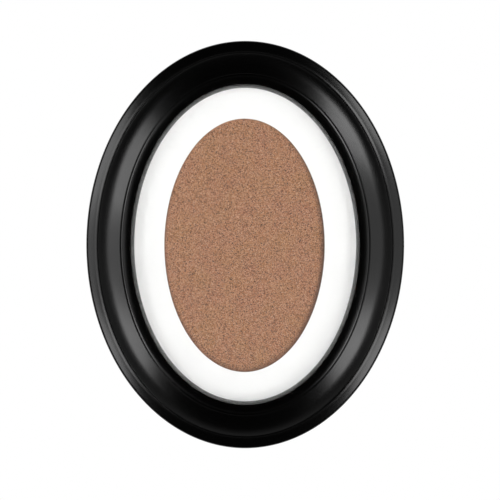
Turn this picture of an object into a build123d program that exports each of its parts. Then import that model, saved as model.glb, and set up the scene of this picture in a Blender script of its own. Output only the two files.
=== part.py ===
from build123d import *
import math
import os

# Oval picture frame, upright as it hangs. Lengths are millimetres and angles are degrees.
# +X is to the right seen from the front, +Z is up, and the front faces -Y.
# The origin is the middle of the oval on the flat back, so a height h above the back is at y = -h.

# Whole frame
outer_width = 238.0
outer_height = 305.0
moulding_depth = 20.0

# Bands of the moulding, from the outer edge inwards at the sides
band_width = 8.0
scoop_width = 17.9
slope_width = 7.4
lip_width = 2.5
# The section is this much narrower where it passes the top and the bottom
top_width_share = 0.976

# Outer band and ridge
edge_round = 2.5
band_low_tilt = 19.0
band_high_tilt = 26.0
crown_radius = 11.25
crown_tilt = 15.0
ridge_round = 0.35
ridge_wall_tilt = 84.0
ridge_wall_drop = 4.85

# Scoop, from the foot of the ridge to the bottom of the groove
foot_round = 0.4
hollow_width = 9.2
hollow_low_tilt = 5.0
hollow_high_tilt = 20.5
rise_tilt = 25.0
bead_round = 0.6
groove_width = 0.45
groove_tilt = 70.0

# Slope, from the bottom of the groove over a narrow crest and a round nose
corner_round = 0.19
crest_width = 0.95
crest_start_tilt = 24.0
crest_end_tilt = 14.0
nose_round = 0.4
slope_high_tilt = 30.0
slope_low_tilt = 46.0

# Sight lip and rebate
lip_corner_round = 0.3
lip_high_tilt = 58.0
lip_low_tilt = 80.0
rebate_width = 6.5

# What the rebate holds
glass_thickness = 2.0
glass_clearance = 1.0
glass_seam = 0.3
mat_thickness = 1.2
mat_clearance = 1.2
mat_border = 23.0
mat_shift = 0.55
mat_drop = 0.55
backing_thickness = 3.0
backing_clearance = 0.8

# Turn-buttons, whose screws stand this far outside the edge of the rebate
button_count = 6
button_edge = 8.5
button_length = 17.0
button_root_radius = 5.0
button_tip_radius = 3.4
button_thickness = 1.2
button_ease = 0.3
button_play = 0.05
pivot_clearance = 0.1

# Pan-head screws
screw_radius = 1.45
screw_length = 10.0
screw_point = 2.2
screw_tip_radius = 0.25
screw_fit = 0.02
pilot_spare = 0.6
head_radius = 3.1
head_height = 1.8
head_rim = 0.6
recess_length = 3.6
recess_width = 0.8
recess_depth = 1.0

# Strap hanger, whose screw stands this far outside the edge of the rebate, and its ring
hanger_edge = 4.7
strap_thickness = 0.8
strap_width = 9.0
eye_gap = 0.15
ring_wire_radius = 1.0
ring_clearance = 0.1
ring_half_width = 7.0
ring_side = 2.0
ring_corner_radius = 1.8
ring_head_gap = 0.6

# A cut runs this far past what it cuts
overrun = 1.0
# Neighbouring sections along an arc of the moulding differ by no more than this turn
section_turn = 9.0

half_width = outer_width / 2
half_height = outer_height / 2
moulding_width = band_width + scoop_width + slope_width + lip_width
rebate_inset = moulding_width - rebate_width
rebate_depth = glass_thickness + mat_thickness + backing_thickness
button_inset = rebate_inset - button_edge
button_seat = button_play + button_thickness + button_play
eye_radius = ring_wire_radius + ring_clearance + strap_thickness
ring_reach = ring_side + ring_half_width + ring_wire_radius
strap_length = ring_reach + ring_head_gap + head_radius
hanger_height = half_height - rebate_inset * top_width_share + hanger_edge
eye_height = hanger_height + strap_length


def sine(angle):
    return math.sin(math.radians(angle))


def cosine(angle):
    return math.cos(math.radians(angle))


def oval(inset, height):
    """The oval that lies inset from the outer edge, at a height above the back."""
    plane = Plane(origin=(0, -height, 0), x_dir=(1, 0, 0), z_dir=(0, -1, 0))
    return Wire.make_ellipse(half_width - inset, half_height - inset * top_width_share, plane)


def oval_plate(inset, low, high):
    """A flat oval plate that lies inset from the outer edge, between two heights."""
    return extrude(Face(oval(inset, low)), amount=high - low, dir=(0, -1, 0))


def button_planes():
    """Each turn-button's plane on the back: X points inwards, and Z points away from the frame."""
    across = half_width - button_inset
    up = half_height - button_inset * top_width_share
    planes = []
    for number in range(button_count):
        angle = number * 360 / button_count
        pivot = (across * cosine(angle), 0, up * sine(angle))
        inward = (-up * cosine(angle), 0, -across * sine(angle))
        planes.append(Plane(origin=pivot, x_dir=inward, z_dir=(0, 1, 0)))
    return planes


def hanger_screw_plane():
    """The plane of the hanger's screw on the back, with Z away from the frame."""
    return Plane(origin=(0, 0, hanger_height), x_dir=(1, 0, 0), z_dir=(0, 1, 0))


# The moulding's section is drawn with the inset as X and the height as Y.


def heading(tilt):
    """The direction in the section that climbs inwards at a tilt."""
    return Vector(cosine(tilt), sine(tilt))


def arc_radius(reach, start_tilt, end_tilt):
    """The radius of an arc that turns from one tilt to another over a reach inwards."""
    return abs(reach / (sine(end_tilt) - sine(start_tilt)))


def outer_edges():
    """The section from the back, up the outer wall, over the band and down the ridge."""
    round_reach = edge_round * (1 - sine(band_low_tilt))
    round_rise = edge_round * cosine(band_low_tilt)
    crown_reach = crown_radius * (sine(band_high_tilt) - sine(crown_tilt))
    crown_rise = crown_radius * (cosine(crown_tilt) - cosine(band_high_tilt))
    ridge_reach = ridge_round * sine(crown_tilt)
    ridge_rise = ridge_round * (1 - cosine(crown_tilt))
    band_reach = band_width - round_reach - crown_reach - ridge_reach
    band_radius = arc_radius(band_reach, band_low_tilt, band_high_tilt)
    band_rise = band_radius * (cosine(band_low_tilt) - cosine(band_high_tilt))
    shoulder = moulding_depth - ridge_rise - crown_rise - band_rise - round_rise
    wall = Line((0, 0), (0, shoulder))
    edge = JernArc(wall @ 1, wall % 1, edge_round, band_low_tilt - 90)
    band = JernArc(edge @ 1, edge % 1, band_radius, band_high_tilt - band_low_tilt)
    crown = JernArc(band @ 1, band % 1, crown_radius, crown_tilt - band_high_tilt)
    ridge = JernArc(crown @ 1, crown % 1, ridge_round, -crown_tilt - ridge_wall_tilt)
    wall_length = ridge_wall_drop / sine(ridge_wall_tilt)
    fall = Line(ridge @ 1, ridge @ 1 + heading(-ridge_wall_tilt) * wall_length)
    return [wall, edge, band, crown, ridge, fall]


def scoop_edges(start):
    """The section from the foot of the ridge, up the scoop and down into the fine groove."""
    low = hollow_low_tilt
    high = hollow_high_tilt
    foot = JernArc(start, heading(-ridge_wall_tilt), foot_round, ridge_wall_tilt + low)
    hollow = JernArc(foot @ 1, foot % 1, arc_radius(hollow_width, low, high), high - low)
    bead_reach = bead_round * (sine(rise_tilt) + sine(groove_tilt))
    rise_end = band_width + scoop_width - groove_width / 2 - bead_reach
    rise_radius = arc_radius(rise_end - (hollow @ 1).X, high, rise_tilt)
    rise = JernArc(hollow @ 1, hollow % 1, rise_radius, rise_tilt - high)
    bead = JernArc(rise @ 1, rise % 1, bead_round, -rise_tilt - groove_tilt)
    groove_side = groove_width / 2 / cosine(groove_tilt)
    fall = Line(bead @ 1, bead @ 1 + heading(-groove_tilt) * groove_side)
    return [foot, hollow, rise, bead, fall]


def nose_edges(start):
    """The section from the bottom of the groove, up its other side, over the crest and the nose."""
    groove_side = groove_width / 2 / cosine(groove_tilt)
    climb = Line(start, start + heading(groove_tilt) * groove_side)
    corner = JernArc(climb @ 1, climb % 1, corner_round, crest_start_tilt - groove_tilt)
    crest_radius = arc_radius(crest_width, crest_start_tilt, crest_end_tilt)
    crest = JernArc(corner @ 1, corner % 1, crest_radius, crest_end_tilt - crest_start_tilt)
    nose = JernArc(crest @ 1, crest % 1, nose_round, -crest_end_tilt - slope_high_tilt)
    return [climb, corner, crest, nose]


def lip_edges(start):
    """The section from the nose, down the slope, over the sight lip and down the sight edge."""
    high = slope_high_tilt
    low = slope_low_tilt
    slope_reach = moulding_width - lip_width - start.X
    slope = JernArc(start, heading(-high), arc_radius(slope_reach, high, low), high - low)
    corner = JernArc(slope @ 1, slope % 1, lip_corner_round, low - lip_high_tilt)
    lip_reach = moulding_width - (corner @ 1).X
    lip_radius = arc_radius(lip_reach, lip_high_tilt, lip_low_tilt)
    lip = JernArc(corner @ 1, corner % 1, lip_radius, lip_high_tilt - lip_low_tilt)
    return [slope, corner, lip, Line(lip @ 1, (moulding_width, rebate_depth))]


def rebate_edges():
    """The section from the sight edge, round the rebate and along the flat back."""
    corners = [(moulding_width, rebate_depth), (rebate_inset, rebate_depth), (rebate_inset, 0), (0, 0)]
    return [Line(start, end) for start, end in zip(corners, corners[1:])]


def carried_round(edge):
    """The faces that one edge of the section makes as it is carried round the oval."""
    start = edge @ 0
    end = edge @ 1
    if edge.geom_type == GeomType.LINE and math.isclose(start.Y, end.Y):
        outer = min(start.X, end.X)
        inner = max(start.X, end.X)
        return [Face(oval(outer, start.Y), [oval(inner, start.Y)])]
    steps = 1
    if edge.geom_type != GeomType.LINE:
        steps = max(3, math.ceil((edge % 0).get_angle(edge % 1) / section_turn))
    places = [edge @ (step / steps) for step in range(steps + 1)]
    band = Solid.make_loft([oval(place.X, place.Y) for place in places], ruled=steps == 1)
    return [face for face in band.faces() if face.geom_type != GeomType.PLANE]


def pilot_hole(seat):
    """The hole that a screw leaves in the moulding, where its head sits this far off the back."""
    depth = screw_length - seat + pilot_spare
    hole = Cylinder(screw_radius + screw_fit, depth + overrun)
    return Pos(0, 0, (overrun - depth) / 2) * hole


def moulding():
    outer = outer_edges()
    scoop = scoop_edges(outer[-1] @ 1)
    nose = nose_edges(scoop[-1] @ 1)
    edges = outer + scoop + nose + lip_edges(nose[-1] @ 1) + rebate_edges()
    ring = Solid(Shell([face for edge in edges for face in carried_round(edge)]))
    holes = [plane * pilot_hole(button_seat) for plane in button_planes()]
    holes.append(hanger_screw_plane() * pilot_hole(strap_thickness))
    return ring - holes


def glass():
    plate = oval_plate(rebate_inset + glass_clearance, rebate_depth - glass_thickness, rebate_depth)
    return chamfer(plate.edges(), glass_seam)


def mat_board():
    low = backing_thickness
    high = low + mat_thickness
    card = oval_plate(rebate_inset + mat_clearance, low, high)
    aperture = oval_plate(moulding_width + mat_border, low - overrun, high + overrun)
    return Pos(-mat_shift, 0, -mat_drop) * (card - aperture)


def backing_board():
    return oval_plate(rebate_inset + backing_clearance, 0, backing_thickness)


def turn_button():
    """A stamped tab that points along X from its screw hole, with its seat at z = 0."""
    root = CenterArc((0, 0), button_root_radius, 0, 360)
    tip = CenterArc((button_length, 0), button_tip_radius, 0, 360)
    tab = extrude(make_hull([root, tip]), amount=button_thickness)
    tab = chamfer(tab.edges().filter_by(Axis.Z, reverse=True), button_ease)
    hole = Cylinder(screw_radius + pivot_clearance, button_thickness + 2 * overrun)
    return tab - Pos(0, 0, button_thickness / 2) * hole


def pan_screw():
    """A pan-head screw along Z, with the underside of its head at z = 0 and its point below."""
    head_top = (0, head_height)
    rim_top = (head_radius, head_rim)
    shank_end = screw_point - screw_length
    outline = Polyline(
        head_top,
        (0, -screw_length),
        (screw_tip_radius, -screw_length),
        (screw_radius, shank_end),
        (screw_radius, 0),
        (head_radius, 0),
        rim_top,
    )
    dome = TangentArc(head_top, rim_top, tangent=(1, 0))
    half = Plane.XZ * make_face(outline.edges() + dome.edges())
    body = revolve(half, Axis.Z)
    slot = Box(recess_length, recess_width, recess_depth + overrun)
    cross = slot + Rot(0, 0, 90) * slot
    return body - Pos(0, 0, head_height - recess_depth + (recess_depth + overrun) / 2) * cross


def hanger_strap():
    """A steel strip screwed flat to the back, with its top end rolled into an eye."""
    turn_start = -90
    eye = (0, eye_radius)
    bore = eye_radius - strap_thickness
    end_rise = strap_thickness + eye_gap - eye_radius
    eye_wrap = 270 - math.degrees(math.asin(end_rise / eye_radius))
    outer = CenterArc(eye, eye_radius, turn_start, eye_wrap)
    inner = CenterArc(eye, bore, turn_start, eye_wrap)
    strip_end = -strap_length - strap_width / 2
    strip = Polyline(inner @ 0, (strip_end, strap_thickness), (strip_end, 0), outer @ 0)
    roll_end = Line(outer @ 1, inner @ 1)
    profile = make_face(outer.edges() + roll_end.edges() + inner.edges() + strip.edges())
    rolled = extrude(profile, amount=strap_width / 2, both=True)
    plan = SlotCenterToCenter(2 * strap_length, strap_width)
    plan = extrude(Plane.XZ * plan, amount=2 * eye_radius + overrun, both=True)
    hole = Rot(90, 0, 0) * Cylinder(screw_radius + pivot_clearance, 2 * (strap_thickness + overrun))
    strap = (rolled & plan) - Pos(-strap_length, 0, 0) * hole
    place = Plane(origin=(0, 0, eye_height), x_dir=(0, 0, 1), z_dir=(-1, 0, 0))
    return place * strap


def hanger_ring():
    """A wire ring, straight where it turns in the eye and round below, that hangs down."""
    side_end = -ring_side
    corner = (ring_half_width, 0)
    bar = FilletPolyline(
        (-ring_half_width, side_end), (-ring_half_width, 0), corner, (ring_half_width, side_end),
        radius=ring_corner_radius,
    )
    bow = CenterArc((0, side_end), ring_half_width, 180, 180)
    place = Plane(origin=(0, eye_radius, eye_height), x_dir=(1, 0, 0), z_dir=(0, -1, 0))
    path = Wire(bar.edges() + bow.edges())
    section = Plane(origin=path @ 0, z_dir=path % 0) * Circle(ring_wire_radius)
    return place * sweep(section, path)


def write(name, shape):
    """Write one node and print what it holds."""
    export_step(shape, os.path.join("parts", name + ".step"))
    print(name, len(shape.solids()), "solids", round(shape.volume, 1), "cubic mm")


os.makedirs("parts", exist_ok=True)
write("moulding", moulding())
write("glass", glass())
write("mat_board", mat_board())
write("backing_board", backing_board())
for number, plane in enumerate(button_planes(), start=1):
    write(f"turn_button_{number}", plane * Pos(0, 0, button_play) * turn_button())
screws = [plane * Pos(0, 0, button_seat) * pan_screw() for plane in button_planes()]
write("turn_button_screws", Compound(screws))
write("hanger_strap", hanger_strap())
write("hanger_ring", hanger_ring())
write("hanger_screw", hanger_screw_plane() * Pos(0, 0, strap_thickness) * pan_screw())
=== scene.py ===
import bmesh
import bpy
import math
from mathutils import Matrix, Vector


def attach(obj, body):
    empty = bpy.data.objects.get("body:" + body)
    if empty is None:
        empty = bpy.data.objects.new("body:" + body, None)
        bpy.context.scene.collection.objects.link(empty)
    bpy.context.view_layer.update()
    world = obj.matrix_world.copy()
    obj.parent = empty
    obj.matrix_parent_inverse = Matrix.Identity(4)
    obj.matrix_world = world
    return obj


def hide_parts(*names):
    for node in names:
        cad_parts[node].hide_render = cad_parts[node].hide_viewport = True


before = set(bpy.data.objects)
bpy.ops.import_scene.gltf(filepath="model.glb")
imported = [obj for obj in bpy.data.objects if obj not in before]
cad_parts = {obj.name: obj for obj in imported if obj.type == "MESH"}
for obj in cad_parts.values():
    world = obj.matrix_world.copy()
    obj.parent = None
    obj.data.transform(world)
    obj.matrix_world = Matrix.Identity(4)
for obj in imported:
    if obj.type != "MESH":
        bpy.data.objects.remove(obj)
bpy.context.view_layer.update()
print("loaded", len(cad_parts), "pieces of the oval frame")


def linearColour(code):
    # sRGB hex to linear
    levels = [int(code[i:i + 2], 16) / 255 for i in (1, 3, 5)]
    linear = [v / 12.92 if v <= 0.04045 else ((v + 0.055) / 1.055) ** 2.4 for v in levels]
    return (*linear, 1.0)


def perMetre(sizeMm):
    # texture scale at which one patch is about this wide
    return 1000 / sizeMm


def addNode(tree, kind, settings=None, inputs=None):
    # an input is a value, or a socket to link from
    node = tree.nodes.new(kind)
    for name, value in (settings or {}).items():
        setattr(node, name, value)
    for name, value in (inputs or {}).items():
        if isinstance(value, bpy.types.NodeSocket):
            tree.links.new(value, node.inputs[name])
        else:
            node.inputs[name].default_value = value
    return node


def newMaterial(name):
    material = bpy.data.materials.new(name)
    material.use_nodes = True
    material.node_tree.nodes.clear()
    return material, material.node_tree


def dress(material, *nodeNames):
    for name in nodeNames:
        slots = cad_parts[name].material_slots
        for slot in slots:
            slot.material = material


# Moulding: satin black lacquer, sprayed over sanded fibreboard. Deep black with a soft, slightly
# uneven gloss, and a duller, thinner coat on the back where no one sees it.
lacquer = {
    "colour": "#020202",
    "backColour": "#14110f",
    "ior": 1.5,
    "roughness": 0.21,
    "roughnessSpread": 0.01,
    "backRoughness": 0.55,
    "backFacing": (0.8, 0.95),
    "cloudSpread": (0.3, 0.7),
    "cloudMm": 14.0,
    "peelMm": 2.2,
    "peelHeightMm": 0.004,
    "grainMm": 0.5,
    "grainHeightMm": 0.002,
}


def sprayedLacquer():
    v = lacquer
    material, tree = newMaterial("satin black lacquer on fibreboard")
    place = addNode(tree, "ShaderNodeTexCoord").outputs["Object"]
    facing = addNode(tree, "ShaderNodeNewGeometry").outputs["True Normal"]
    facing = addNode(tree, "ShaderNodeSeparateXYZ", inputs={"Vector": facing}).outputs["Y"]
    start, end = v["backFacing"]
    back = addNode(tree, "ShaderNodeMapRange", inputs={
        "Value": facing, "From Min": start, "From Max": end}).outputs["Result"]
    clouds = addNode(tree, "ShaderNodeTexNoise", inputs={
        "Vector": place, "Scale": perMetre(v["cloudMm"]), "Detail": 3.0}).outputs["Fac"]
    peel = addNode(tree, "ShaderNodeTexNoise", inputs={
        "Vector": place, "Scale": perMetre(v["peelMm"]), "Detail": 1.0}).outputs["Fac"]
    grain = addNode(tree, "ShaderNodeTexNoise", inputs={
        "Vector": place, "Scale": perMetre(v["grainMm"]), "Detail": 2.0}).outputs["Fac"]
    start, end = v["cloudSpread"]
    gloss = addNode(tree, "ShaderNodeMapRange", inputs={
        "Value": clouds, "From Min": start, "From Max": end,
        "To Min": v["roughness"] - v["roughnessSpread"],
        "To Max": v["roughness"] + v["roughnessSpread"]}).outputs["Result"]
    gloss = addNode(tree, "ShaderNodeMix", inputs={
        "Factor": back, "A": gloss, "B": v["backRoughness"]}).outputs["Result"]
    colour = addNode(tree, "ShaderNodeMix", {"data_type": "RGBA"}, {"Factor": back})
    colour.inputs[6].default_value = linearColour(v["colour"])
    colour.inputs[7].default_value = linearColour(v["backColour"])
    ripples = addNode(tree, "ShaderNodeBump", inputs={
        "Height": peel, "Distance": v["peelHeightMm"] / 1000})
    bumps = addNode(tree, "ShaderNodeBump", inputs={
        "Height": grain, "Distance": v["grainHeightMm"] / 1000,
        "Normal": ripples.outputs["Normal"]})
    shader = addNode(tree, "ShaderNodeBsdfPrincipled", inputs={
        "Base Color": colour.outputs[2], "Roughness": gloss, "IOR": v["ior"],
        "Normal": bumps.outputs["Normal"]})
    addNode(tree, "ShaderNodeOutputMaterial", inputs={"Surface": shader.outputs["BSDF"]})
    return material


# Glass: clear float glass. Light from the lamps passes straight through, so the card behind stays
# bright. The real pane's seamed edge keeps a trace of green, which is not drawn here.
glassFacts = {"colour": "#ffffff", "ior": 1.5, "roughness": 0.0}


def floatGlass():
    v = glassFacts
    material, tree = newMaterial("clear float glass")
    light = addNode(tree, "ShaderNodeLightPath")
    lampRay = addNode(tree, "ShaderNodeMath", {"operation": "MAXIMUM"})
    tree.links.new(light.outputs["Is Shadow Ray"], lampRay.inputs[0])
    tree.links.new(light.outputs["Is Diffuse Ray"], lampRay.inputs[1])
    pane = addNode(tree, "ShaderNodeBsdfPrincipled", inputs={
        "Base Color": linearColour(v["colour"]), "Roughness": v["roughness"],
        "IOR": v["ior"], "Transmission Weight": 1.0})
    clear = addNode(tree, "ShaderNodeBsdfTransparent")
    shader = addNode(tree, "ShaderNodeMixShader", inputs={"Fac": lampRay.outputs["Value"]})
    tree.links.new(pane.outputs["BSDF"], shader.inputs[1])
    tree.links.new(clear.outputs["BSDF"], shader.inputs[2])
    addNode(tree, "ShaderNodeOutputMaterial", inputs={"Surface": shader.outputs["Shader"]})
    return material


# Mat: smooth white card, cut square. The faces are clean white, and the cut shows the creamier core.
card = {
    "colour": "#fbfbfa",
    "coreColour": "#e9e4d8",
    "roughness": 0.85,
    "cutFacing": (0.6, 0.3),
    "toothMm": 0.6,
    "toothHeightMm": 0.006,
}


def whiteCard():
    v = card
    material, tree = newMaterial("white mat card")
    place = addNode(tree, "ShaderNodeTexCoord").outputs["Object"]
    facing = addNode(tree, "ShaderNodeNewGeometry").outputs["True Normal"]
    facing = addNode(tree, "ShaderNodeSeparateXYZ", inputs={"Vector": facing}).outputs["Y"]
    flat = addNode(tree, "ShaderNodeMath", {"operation": "ABSOLUTE"})
    tree.links.new(facing, flat.inputs[0])
    start, end = v["cutFacing"]
    cut = addNode(tree, "ShaderNodeMapRange", inputs={
        "Value": flat.outputs["Value"], "From Min": start, "From Max": end}).outputs["Result"]
    colour = addNode(tree, "ShaderNodeMix", {"data_type": "RGBA"}, {"Factor": cut})
    colour.inputs[6].default_value = linearColour(v["colour"])
    colour.inputs[7].default_value = linearColour(v["coreColour"])
    tooth = addNode(tree, "ShaderNodeTexNoise", inputs={
        "Vector": place, "Scale": perMetre(v["toothMm"]), "Detail": 3.0}).outputs["Fac"]
    bumps = addNode(tree, "ShaderNodeBump", inputs={
        "Height": tooth, "Distance": v["toothHeightMm"] / 1000})
    shader = addNode(tree, "ShaderNodeBsdfPrincipled", inputs={
        "Base Color": colour.outputs[2], "Roughness": v["roughness"],
        "Normal": bumps.outputs["Normal"]})
    addNode(tree, "ShaderNodeOutputMaterial", inputs={"Surface": shader.outputs["BSDF"]})
    return material


# Backing: bare brown fibreboard, pressed from wood fibre. Warm tan, peppered with dark fibre ends
# and mottled by broad, faint pinkish and yellowish clouds. Outside a clear oval the front darkens
# with a painted shadow, the shade the mat's cut edge casts on the board, most at the lower right.
board = {
    "pinkTan": "#9d6442",
    "yellowTan": "#9d693c",
    "darkFleck": "#22100a",
    "lightFleck": "#c49a7e",
    # colour of the painted shadow along the mat's cut edge
    "paintedShadowColour": "#32190f",
    "cloudMm": 18.0,
    "chipMm": 0.42,
    "fibreMm": 1.6,
    # clear oval, outside which the painted shadow darkens the front
    "clearHalfWidthMm": 56.9,
    "clearHalfHeightMm": 91.8,
    "clearMiddleMm": (-1.5, 0.8),
    "paintedShadowReach": (0.99, 1.08),
    "paintedShadowDepth": 0.85,
    "cloudSpread": (0.35, 0.65),
    "darkShades": (0.3, 0.1),
    "lightShades": (0.45, 1.0),
    "roughness": 0.8,
    "fleckHeightMm": 0.02,
}


def bareFibreboard():
    v = board
    material, tree = newMaterial("bare brown fibreboard")
    place = addNode(tree, "ShaderNodeTexCoord").outputs["Object"]
    clouds = addNode(tree, "ShaderNodeTexNoise", inputs={
        "Vector": place, "Scale": perMetre(v["cloudMm"]), "Detail": 3.0}).outputs["Fac"]
    chips = addNode(tree, "ShaderNodeTexVoronoi", inputs={
        "Vector": place, "Scale": perMetre(v["chipMm"])}).outputs["Color"]
    shade = addNode(tree, "ShaderNodeSeparateColor", inputs={"Color": chips}).outputs["Red"]
    fibres = addNode(tree, "ShaderNodeTexNoise", inputs={
        "Vector": place, "Scale": perMetre(v["fibreMm"]), "Detail": 2.0,
        "Distortion": 1.5}).outputs["Fac"]
    across = v["clearHalfWidthMm"]
    up = v["clearHalfHeightMm"]
    middle = v["clearMiddleMm"]
    oval = addNode(tree, "ShaderNodeVectorMath", {"operation": "MULTIPLY_ADD"})
    tree.links.new(place, oval.inputs[0])
    oval.inputs[1].default_value = (1000 / across, 0.0, 1000 / up)
    oval.inputs[2].default_value = (-middle[0] / across, 0.0, -middle[1] / up)
    reach = addNode(tree, "ShaderNodeVectorMath", {"operation": "LENGTH"})
    tree.links.new(oval.outputs["Vector"], reach.inputs[0])
    # the painted shadow lies on the front face only
    facing = addNode(tree, "ShaderNodeNewGeometry").outputs["True Normal"]
    facing = addNode(tree, "ShaderNodeSeparateXYZ", inputs={"Vector": facing}).outputs["Y"]
    front = addNode(tree, "ShaderNodeMapRange", inputs={
        "Value": facing, "From Min": 0.0, "From Max": -1.0,
        "To Max": v["paintedShadowDepth"]}).outputs["Result"]
    start, end = v["cloudSpread"]
    cloudShare = addNode(tree, "ShaderNodeMapRange", inputs={
        "Value": clouds, "From Min": start, "From Max": end}).outputs["Result"]
    start, end = v["darkShades"]
    darkShare = addNode(tree, "ShaderNodeMapRange", inputs={
        "Value": shade, "From Min": start, "From Max": end}).outputs["Result"]
    start, end = v["lightShades"]
    lightShare = addNode(tree, "ShaderNodeMapRange", inputs={
        "Value": shade, "From Min": start, "From Max": end}).outputs["Result"]
    # painted shadow: darker towards the mat's cut edge outside the clear oval, most at the lower
    # right
    start, end = v["paintedShadowReach"]
    paintedShadowShare = addNode(tree, "ShaderNodeMapRange", {"interpolation_type": "SMOOTHSTEP"}, {
        "Value": reach.outputs["Value"], "From Min": start, "From Max": end,
        "To Max": front}).outputs["Result"]
    ground = addNode(tree, "ShaderNodeMix", {"data_type": "RGBA"}, {"Factor": cloudShare})
    ground.inputs[6].default_value = linearColour(v["pinkTan"])
    ground.inputs[7].default_value = linearColour(v["yellowTan"])
    light = addNode(tree, "ShaderNodeMix", {"data_type": "RGBA"}, {"Factor": lightShare})
    tree.links.new(ground.outputs[2], light.inputs[6])
    light.inputs[7].default_value = linearColour(v["lightFleck"])
    dark = addNode(tree, "ShaderNodeMix", {"data_type": "RGBA"}, {"Factor": darkShare})
    tree.links.new(light.outputs[2], dark.inputs[6])
    dark.inputs[7].default_value = linearColour(v["darkFleck"])
    # the painted shadow is mixed over the fibreboard's own colour
    rim = addNode(tree, "ShaderNodeMix", {"data_type": "RGBA"}, {"Factor": paintedShadowShare})
    tree.links.new(dark.outputs[2], rim.inputs[6])
    rim.inputs[7].default_value = linearColour(v["paintedShadowColour"])
    bumps = addNode(tree, "ShaderNodeBump", inputs={
        "Height": fibres, "Distance": v["fleckHeightMm"] / 1000})
    shader = addNode(tree, "ShaderNodeBsdfPrincipled", inputs={
        "Base Color": rim.outputs[2], "Roughness": v["roughness"],
        "Normal": bumps.outputs["Normal"]})
    addNode(tree, "ShaderNodeOutputMaterial", inputs={"Surface": shader.outputs["BSDF"]})
    return material


# Hardware: stamped steel with bright zinc plate. A cool grey metal with a soft sheen, faintly
# clouded by the plating bath.
zinc = {
    "colour": "#c3c6c9",
    "cloudColour": "#b3b4b2",
    "roughness": 0.3,
    "roughnessSpread": 0.08,
    "colourSpread": (0.35, 0.65),
    "cloudSpread": (0.3, 0.7),
    "cloudMm": 2.5,
    "grainMm": 0.25,
    "grainHeightMm": 0.003,
}


def zincPlatedSteel():
    v = zinc
    material, tree = newMaterial("zinc plated steel")
    place = addNode(tree, "ShaderNodeTexCoord").outputs["Object"]
    clouds = addNode(tree, "ShaderNodeTexNoise", inputs={
        "Vector": place, "Scale": perMetre(v["cloudMm"]), "Detail": 3.0}).outputs["Fac"]
    grain = addNode(tree, "ShaderNodeTexNoise", inputs={
        "Vector": place, "Scale": perMetre(v["grainMm"]), "Detail": 2.0}).outputs["Fac"]
    start, end = v["colourSpread"]
    share = addNode(tree, "ShaderNodeMapRange", inputs={
        "Value": clouds, "From Min": start, "From Max": end}).outputs["Result"]
    colour = addNode(tree, "ShaderNodeMix", {"data_type": "RGBA"}, {"Factor": share})
    colour.inputs[6].default_value = linearColour(v["colour"])
    colour.inputs[7].default_value = linearColour(v["cloudColour"])
    start, end = v["cloudSpread"]
    gloss = addNode(tree, "ShaderNodeMapRange", inputs={
        "Value": clouds, "From Min": start, "From Max": end,
        "To Min": v["roughness"] - v["roughnessSpread"],
        "To Max": v["roughness"] + v["roughnessSpread"]}).outputs["Result"]
    bumps = addNode(tree, "ShaderNodeBump", inputs={
        "Height": grain, "Distance": v["grainHeightMm"] / 1000})
    shader = addNode(tree, "ShaderNodeBsdfPrincipled", inputs={
        "Base Color": colour.outputs[2], "Metallic": 1.0, "Roughness": gloss,
        "Normal": bumps.outputs["Normal"]})
    addNode(tree, "ShaderNodeOutputMaterial", inputs={"Surface": shader.outputs["BSDF"]})
    return material


# Moulding: one turned oval ring, made finer than its node so that the highlights run clean. Each
# stretch of the front runs inwards while its slope turns from one tilt to another, from the
# shoulder of the outer wall to the sight edge.
ring = {
    "halfWidthMm": 119.0,
    "halfHeightMm": 152.5,
    "depthMm": 20.0,
    "topWidthShare": 0.976,
    "stretches": [
        # name, reach in mm, tilt at its start, tilt at its end
        ("rounded outer edge", 1.69, 90, 19),
        ("outer band", 4.2, 19, 26),
        ("crown", 2.02, 26, 15),
        ("ridge", 0.44, 15, -84),
        ("ridge wall", 0.51, -84, -84),
        ("foot", 0.43, -84, 5),
        ("hollow of the scoop", 9.2, 5, 20.5),
        ("rise of the scoop", 6.365, 20.5, 25),
        ("bead", 0.82, 25, -70),
        ("fall into the groove", 0.225, -70, -70),
        ("climb out of the groove", 0.225, 70, 70),
        ("corner of the crest", 0.1, 70, 24),
        ("crest", 0.95, 24, 14),
        ("nose", 0.3, 14, -30),
        ("slope", 5.825, -30, -46),
        ("corner of the sight lip", 0.04, -46, -58),
        ("sight lip", 2.46, -58, -80),
    ],
    "rebateInsetMm": 29.3,
    "rebateDepthMm": 6.2,
    "tiltStep": 5.0,
    "steps": 360,
    "creaseAngle": 30.0,
}


def stretchPoints(start, reach, tiltFrom, tiltTo):
    # arc, or a straight run where the tilt stays
    inset, height = start
    a = math.radians(tiltFrom)
    b = math.radians(tiltTo)
    if a == b:
        return [(inset + reach, height + reach * math.tan(a))]
    radius = reach / (math.sin(b) - math.sin(a))
    count = math.ceil(abs(tiltTo - tiltFrom) / ring["tiltStep"])
    tilts = [a + (b - a) * (i + 1) / count for i in range(count)]
    return [(inset + radius * (math.sin(t) - math.sin(a)),
             height + radius * (math.cos(a) - math.cos(t))) for t in tilts]


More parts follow.
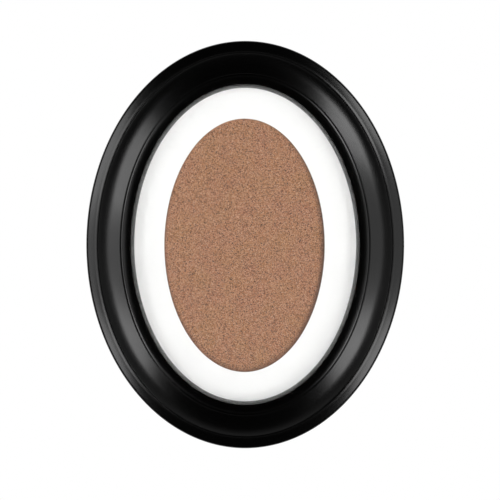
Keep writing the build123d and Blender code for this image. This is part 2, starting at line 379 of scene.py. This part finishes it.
def turnedMoulding(material):
    v = ring
    front = [(0.0, 0.0)]
    for name, reach, tiltFrom, tiltTo in v["stretches"]:
        front += stretchPoints(front[-1], reach, tiltFrom, tiltTo)
    lift = v["depthMm"] - max(height for inset, height in front)
    section = [(inset, height + lift) for inset, height in front]
    sightInset = section[-1][0]
    section += [(sightInset, v["rebateDepthMm"]), (v["rebateInsetMm"], v["rebateDepthMm"]),
                (v["rebateInsetMm"], 0.0), (0.0, 0.0)]
    bm = bmesh.new()
    verts = [bm.verts.new(((v["halfWidthMm"] - inset) / 1000, -height / 1000, 0.0))
             for inset, height in section]
    edges = [bm.edges.new((verts[i - 1], verts[i])) for i in range(len(verts))]
    bmesh.ops.spin(bm, geom=verts + edges, cent=(0, 0, 0), axis=(0, 1, 0),
                   angle=math.radians(360), steps=v["steps"], use_merge=True)
    # round ring pulled taller, so that its bands keep their width at the top and the bottom
    extra = (v["halfHeightMm"] - v["halfWidthMm"] * v["topWidthShare"]) / 1000
    for vert in bm.verts:
        radius = math.hypot(vert.co.x, vert.co.z)
        vert.co.z = vert.co.z * (v["topWidthShare"] + extra / radius)
    bmesh.ops.recalc_face_normals(bm, faces=bm.faces)
    mesh = bpy.data.meshes.new("turned_moulding")
    bm.to_mesh(mesh)
    bm.free()
    mesh.shade_smooth()
    mesh.set_sharp_from_angle(angle=math.radians(v["creaseAngle"]))
    mesh.materials.append(material)
    piece = bpy.data.objects.new("turned_moulding", mesh)
    bpy.context.scene.collection.objects.link(piece)
    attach(piece, "frame")
    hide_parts("moulding")


turnedMoulding(sprayedLacquer())
dress(floatGlass(), "glass")
dress(whiteCard(), "mat_board")
dress(bareFibreboard(), "backing_board")
buttonNodes = [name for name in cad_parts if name.startswith("turn_button")]
dress(zincPlatedSteel(), "hanger_strap", "hanger_ring", "hanger_screw", *buttonNodes)
print("materials on")


# Floor: pale, and pure white to the camera wherever no shadow falls
floorFacts = {"colour": "#e8e8e6", "size": 12.0, "height": -1.2, "glow": 0.7}


def paleFloor():
    v = floorFacts
    bpy.ops.mesh.primitive_plane_add(size=v["size"], location=(0, 0, v["height"]))
    floor = bpy.context.object
    floor.name = "floor"
    material, tree = newMaterial("pale studio floor")
    light = addNode(tree, "ShaderNodeLightPath")
    seen = addNode(tree, "ShaderNodeMath", {"operation": "MAXIMUM"})
    tree.links.new(light.outputs["Is Camera Ray"], seen.inputs[0])
    tree.links.new(light.outputs["Is Transmission Ray"], seen.inputs[1])
    strength = addNode(tree, "ShaderNodeMath", {"operation": "MULTIPLY"})
    tree.links.new(seen.outputs["Value"], strength.inputs[0])
    strength.inputs[1].default_value = v["glow"]
    matt = addNode(tree, "ShaderNodeBsdfDiffuse", inputs={"Color": linearColour(v["colour"])})
    glow = addNode(tree, "ShaderNodeEmission", inputs={"Strength": strength.outputs["Value"]})
    both = addNode(tree, "ShaderNodeAddShader")
    tree.links.new(matt.outputs["BSDF"], both.inputs[0])
    tree.links.new(glow.outputs["Emission"], both.inputs[1])
    addNode(tree, "ShaderNodeOutputMaterial", inputs={"Surface": both.outputs["Shader"]})
    floor.data.materials.append(material)
    floor.visible_glossy = False


# World: white to the camera, a white backdrop behind the frame, and in front of it a dark room
# with a faint glow about the camera's line
worldFacts = {
    "backdrop": 0.8,
    "backdropEdge": (0.1, 0.35),
    "room": 0.003,
    "glow": 0.42,
    "glowWidth": 0.85,
    "glowHeight": 0.4,
    "glowDrop": 0.09,
}


def studioWorld():
    v = worldFacts
    world = bpy.data.worlds.new("studio")
    bpy.context.scene.world = world
    world.use_nodes = True
    tree = world.node_tree
    tree.nodes.clear()
    direction = addNode(tree, "ShaderNodeTexCoord").outputs["Generated"]
    axes = addNode(tree, "ShaderNodeSeparateXYZ", inputs={"Vector": direction}).outputs
    ahead = addNode(tree, "ShaderNodeMath", {"operation": "LESS_THAN"})
    tree.links.new(axes["Y"], ahead.inputs[0])
    ahead.inputs[1].default_value = 0.0
    # through the glass the backdrop is white, and what the glass throws back is the dark room
    light = addNode(tree, "ShaderNodeLightPath")
    through = addNode(tree, "ShaderNodeMath", {"operation": "SUBTRACT", "use_clamp": True})
    tree.links.new(light.outputs["Is Transmission Ray"], through.inputs[0])
    tree.links.new(ahead.outputs["Value"], through.inputs[1])
    seen = addNode(tree, "ShaderNodeMath", {"operation": "MAXIMUM"})
    tree.links.new(light.outputs["Is Camera Ray"], seen.inputs[0])
    tree.links.new(through.outputs["Value"], seen.inputs[1])
    start, end = v["backdropEdge"]
    backdrop = addNode(tree, "ShaderNodeMapRange", {"interpolation_type": "SMOOTHSTEP"}, {
        "Value": axes["Y"], "From Min": start, "From Max": end,
        "To Min": v["room"], "To Max": v["backdrop"]}).outputs["Result"]
    oval = addNode(tree, "ShaderNodeVectorMath", {"operation": "MULTIPLY_ADD"})
    tree.links.new(direction, oval.inputs[0])
    oval.inputs[1].default_value = (1 / v["glowWidth"], 0.0, 1 / v["glowHeight"])
    oval.inputs[2].default_value = (0.0, 0.0, v["glowDrop"] / v["glowHeight"])
    reach = addNode(tree, "ShaderNodeVectorMath", {"operation": "LENGTH"})
    tree.links.new(oval.outputs["Vector"], reach.inputs[0])
    top = addNode(tree, "ShaderNodeMath", {"operation": "MULTIPLY"})
    tree.links.new(ahead.outputs["Value"], top.inputs[0])
    top.inputs[1].default_value = v["glow"]
    glow = addNode(tree, "ShaderNodeMapRange", {"interpolation_type": "SMOOTHSTEP"}, {
        "Value": reach.outputs["Value"], "From Min": 1.0, "From Max": 0.0,
        "To Max": top.outputs["Value"]}).outputs["Result"]
    strength = addNode(tree, "ShaderNodeMath", {"operation": "ADD"})
    tree.links.new(backdrop, strength.inputs[0])
    tree.links.new(glow, strength.inputs[1])
    total = addNode(tree, "ShaderNodeMix", inputs={
        "Factor": seen.outputs["Value"], "A": strength.outputs["Value"], "B": 1.0})
    sky = addNode(tree, "ShaderNodeBackground", inputs={
        "Color": (1.0, 1.0, 1.0, 1.0), "Strength": total.outputs["Result"]})
    addNode(tree, "ShaderNodeOutputWorld", inputs={"Surface": sky.outputs["Background"]})


# Lamps: round soft boxes in front of the frame, placed by their angle off the camera's line and
# their angle above or below the horizontal. The fill stands on the camera's line, lights the card
# evenly and makes no highlight.
lamps = {
    "distance": 2.4,
    "spots": [
        # name, degrees off the line, degrees round from the right, radius, watts
        ("lamp upper right", 42.0, 34.5, 0.40, 8.0),
        ("lamp lower right", 45.2, -29.5, 0.38, 7.0),
        ("lamp upper left", 46.0, 157.0, 0.43, 6.7),
        ("lamp lower left", 43.8, -153.5, 0.36, 5.8),
        ("lamp right", 49.1, 0.0, 0.66, 3.7),
        ("lamp left", 44.4, 180.0, 0.46, 3.3),
        ("fill", 0.0, 0.0, 0.5, 27.2),
    ],
}


def softBoxes():
    v = lamps
    for name, off, around, radius, watts in v["spots"]:
        light = bpy.data.lights.new(name, "AREA")
        light.shape = "DISK"
        light.size = 2 * radius
        light.energy = watts
        lamp = bpy.data.objects.new(name, light)
        bpy.context.scene.collection.objects.link(lamp)
        side = math.sin(math.radians(off))
        direction = Vector((
            side * math.cos(math.radians(around)),
            -math.cos(math.radians(off)),
            side * math.sin(math.radians(around)),
        ))
        lamp.location = direction * v["distance"]
        lamp.rotation_euler = direction.to_track_quat("Z", "Y").to_euler()
        lamp.visible_camera = False
        lamp.visible_glossy = name != "fill"
        lamp.visible_transmission = name != "fill"


# Camera: a long lens, straight on. The pixel places are those of the frame in the photograph.
cameraFacts = {
    "imagePixels": 500,
    "frameCentrePixels": (245.25, 244.6),
    "pixelsPerMetre": 1330.6,
    "distance": 4.0,
    "sensorMm": 36.0,
}


def frontCamera():
    v = cameraFacts
    data = bpy.data.cameras.new("camera")
    data.sensor_width = v["sensorMm"]
    viewWidth = v["imagePixels"] / v["pixelsPerMetre"]
    data.lens = v["sensorMm"] * v["distance"] / viewWidth
    data.clip_end = 100
    camera = bpy.data.objects.new("camera", data)
    bpy.context.scene.collection.objects.link(camera)
    middle = v["imagePixels"] / 2
    right = (middle - v["frameCentrePixels"][0]) / v["pixelsPerMetre"]
    down = (middle - v["frameCentrePixels"][1]) / v["pixelsPerMetre"]
    camera.location = (right, -v["distance"], -down)
    camera.rotation_euler = (math.radians(90), 0, 0)
    bpy.context.scene.camera = camera


paleFloor()
studioWorld()
softBoxes()
frontCamera()
bpy.context.scene.view_settings.view_transform = "Standard"
print("floor, lamps and camera set")
